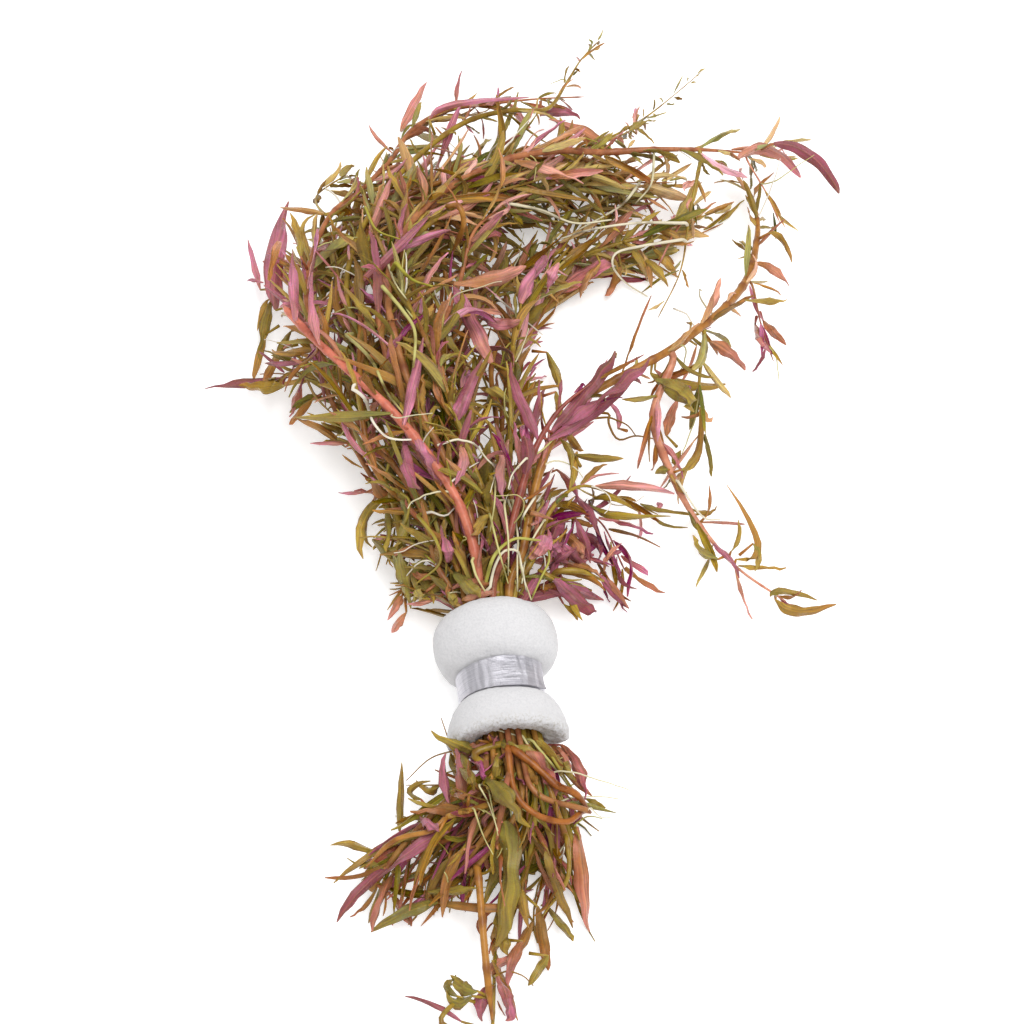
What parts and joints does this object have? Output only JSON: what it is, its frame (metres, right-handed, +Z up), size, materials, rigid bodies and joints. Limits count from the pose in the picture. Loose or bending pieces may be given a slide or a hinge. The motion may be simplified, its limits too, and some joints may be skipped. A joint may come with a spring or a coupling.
{
  "type": "rotala bunch",
  "caption": "Cut bunch of leafy aquarium stem plant, held by a pinched foam sleeve with a metal strip round its waist, lying on a surface.",
  "frame": {"origin": "under the middle of the bunch, on the surface that it lies on", "axes": "+Y runs from the cut ends to the shoots' tips, +X to the right as seen from the cut ends, +Z up"},
  "size_m": [0.1346, 0.258, 0.0465],
  "materials": {
    "foam": "matte",
    "strip_metal": "satin",
    "olive_shoot": "wet",
    "brown_shoot": "wet",
    "pink_shoot": "wet",
    "dark_red_shoot": "wet",
    "salmon_shoot": "wet"
  },
  "bodies": {
    "root": {"arch_shoot": "pink_shoot", "back_shoot": "olive_shoot", "bent_side_shoot": "dark_red_shoot", "drooping_side_shoot": "brown_shoot", "end_side_shoot": "olive_shoot", "far_right_shoot": "pink_shoot", "far_shoot": "olive_shoot", "foam_sleeve": "foam", "hook_side_shoot": "olive_shoot", "inner_side_shoot": "olive_shoot", "left_drooping_shoot": "olive_shoot", "left_low_shoot": "brown_shoot", "left_side_shoot": "dark_red_shoot", "low_right_shoot": "olive_shoot", "metal_strip": "strip_metal", "pile_shoot_01": "olive_shoot", "pile_shoot_02": "brown_shoot", "pile_shoot_03": "pink_shoot", "pile_shoot_04": "olive_shoot", "pile_shoot_05": "brown_shoot", "pile_shoot_06": "pink_shoot", "pile_shoot_07": "olive_shoot", "pile_shoot_08": "brown_shoot", "pile_shoot_09": "pink_shoot", "pile_shoot_10": "olive_shoot", "pile_shoot_11": "brown_shoot", "pile_shoot_12": "pink_shoot", "pile_shoot_13": "olive_shoot", "pile_shoot_14": "brown_shoot", "pile_shoot_15": "pink_shoot", "pile_shoot_16": "olive_shoot", "pile_shoot_17": "brown_shoot", "pile_shoot_18": "pink_shoot", "pile_shoot_19": "olive_shoot", "purple_shoot": "dark_red_shoot", "red_arch_shoot": "dark_red_shoot", "red_low_shoot": "dark_red_shoot", "right_long_shoot": "brown_shoot", "salmon_shoot": "salmon_shoot", "top_side_shoot": "olive_shoot", "upper_side_shoot": "olive_shoot"}
  },
  "joints": []
}
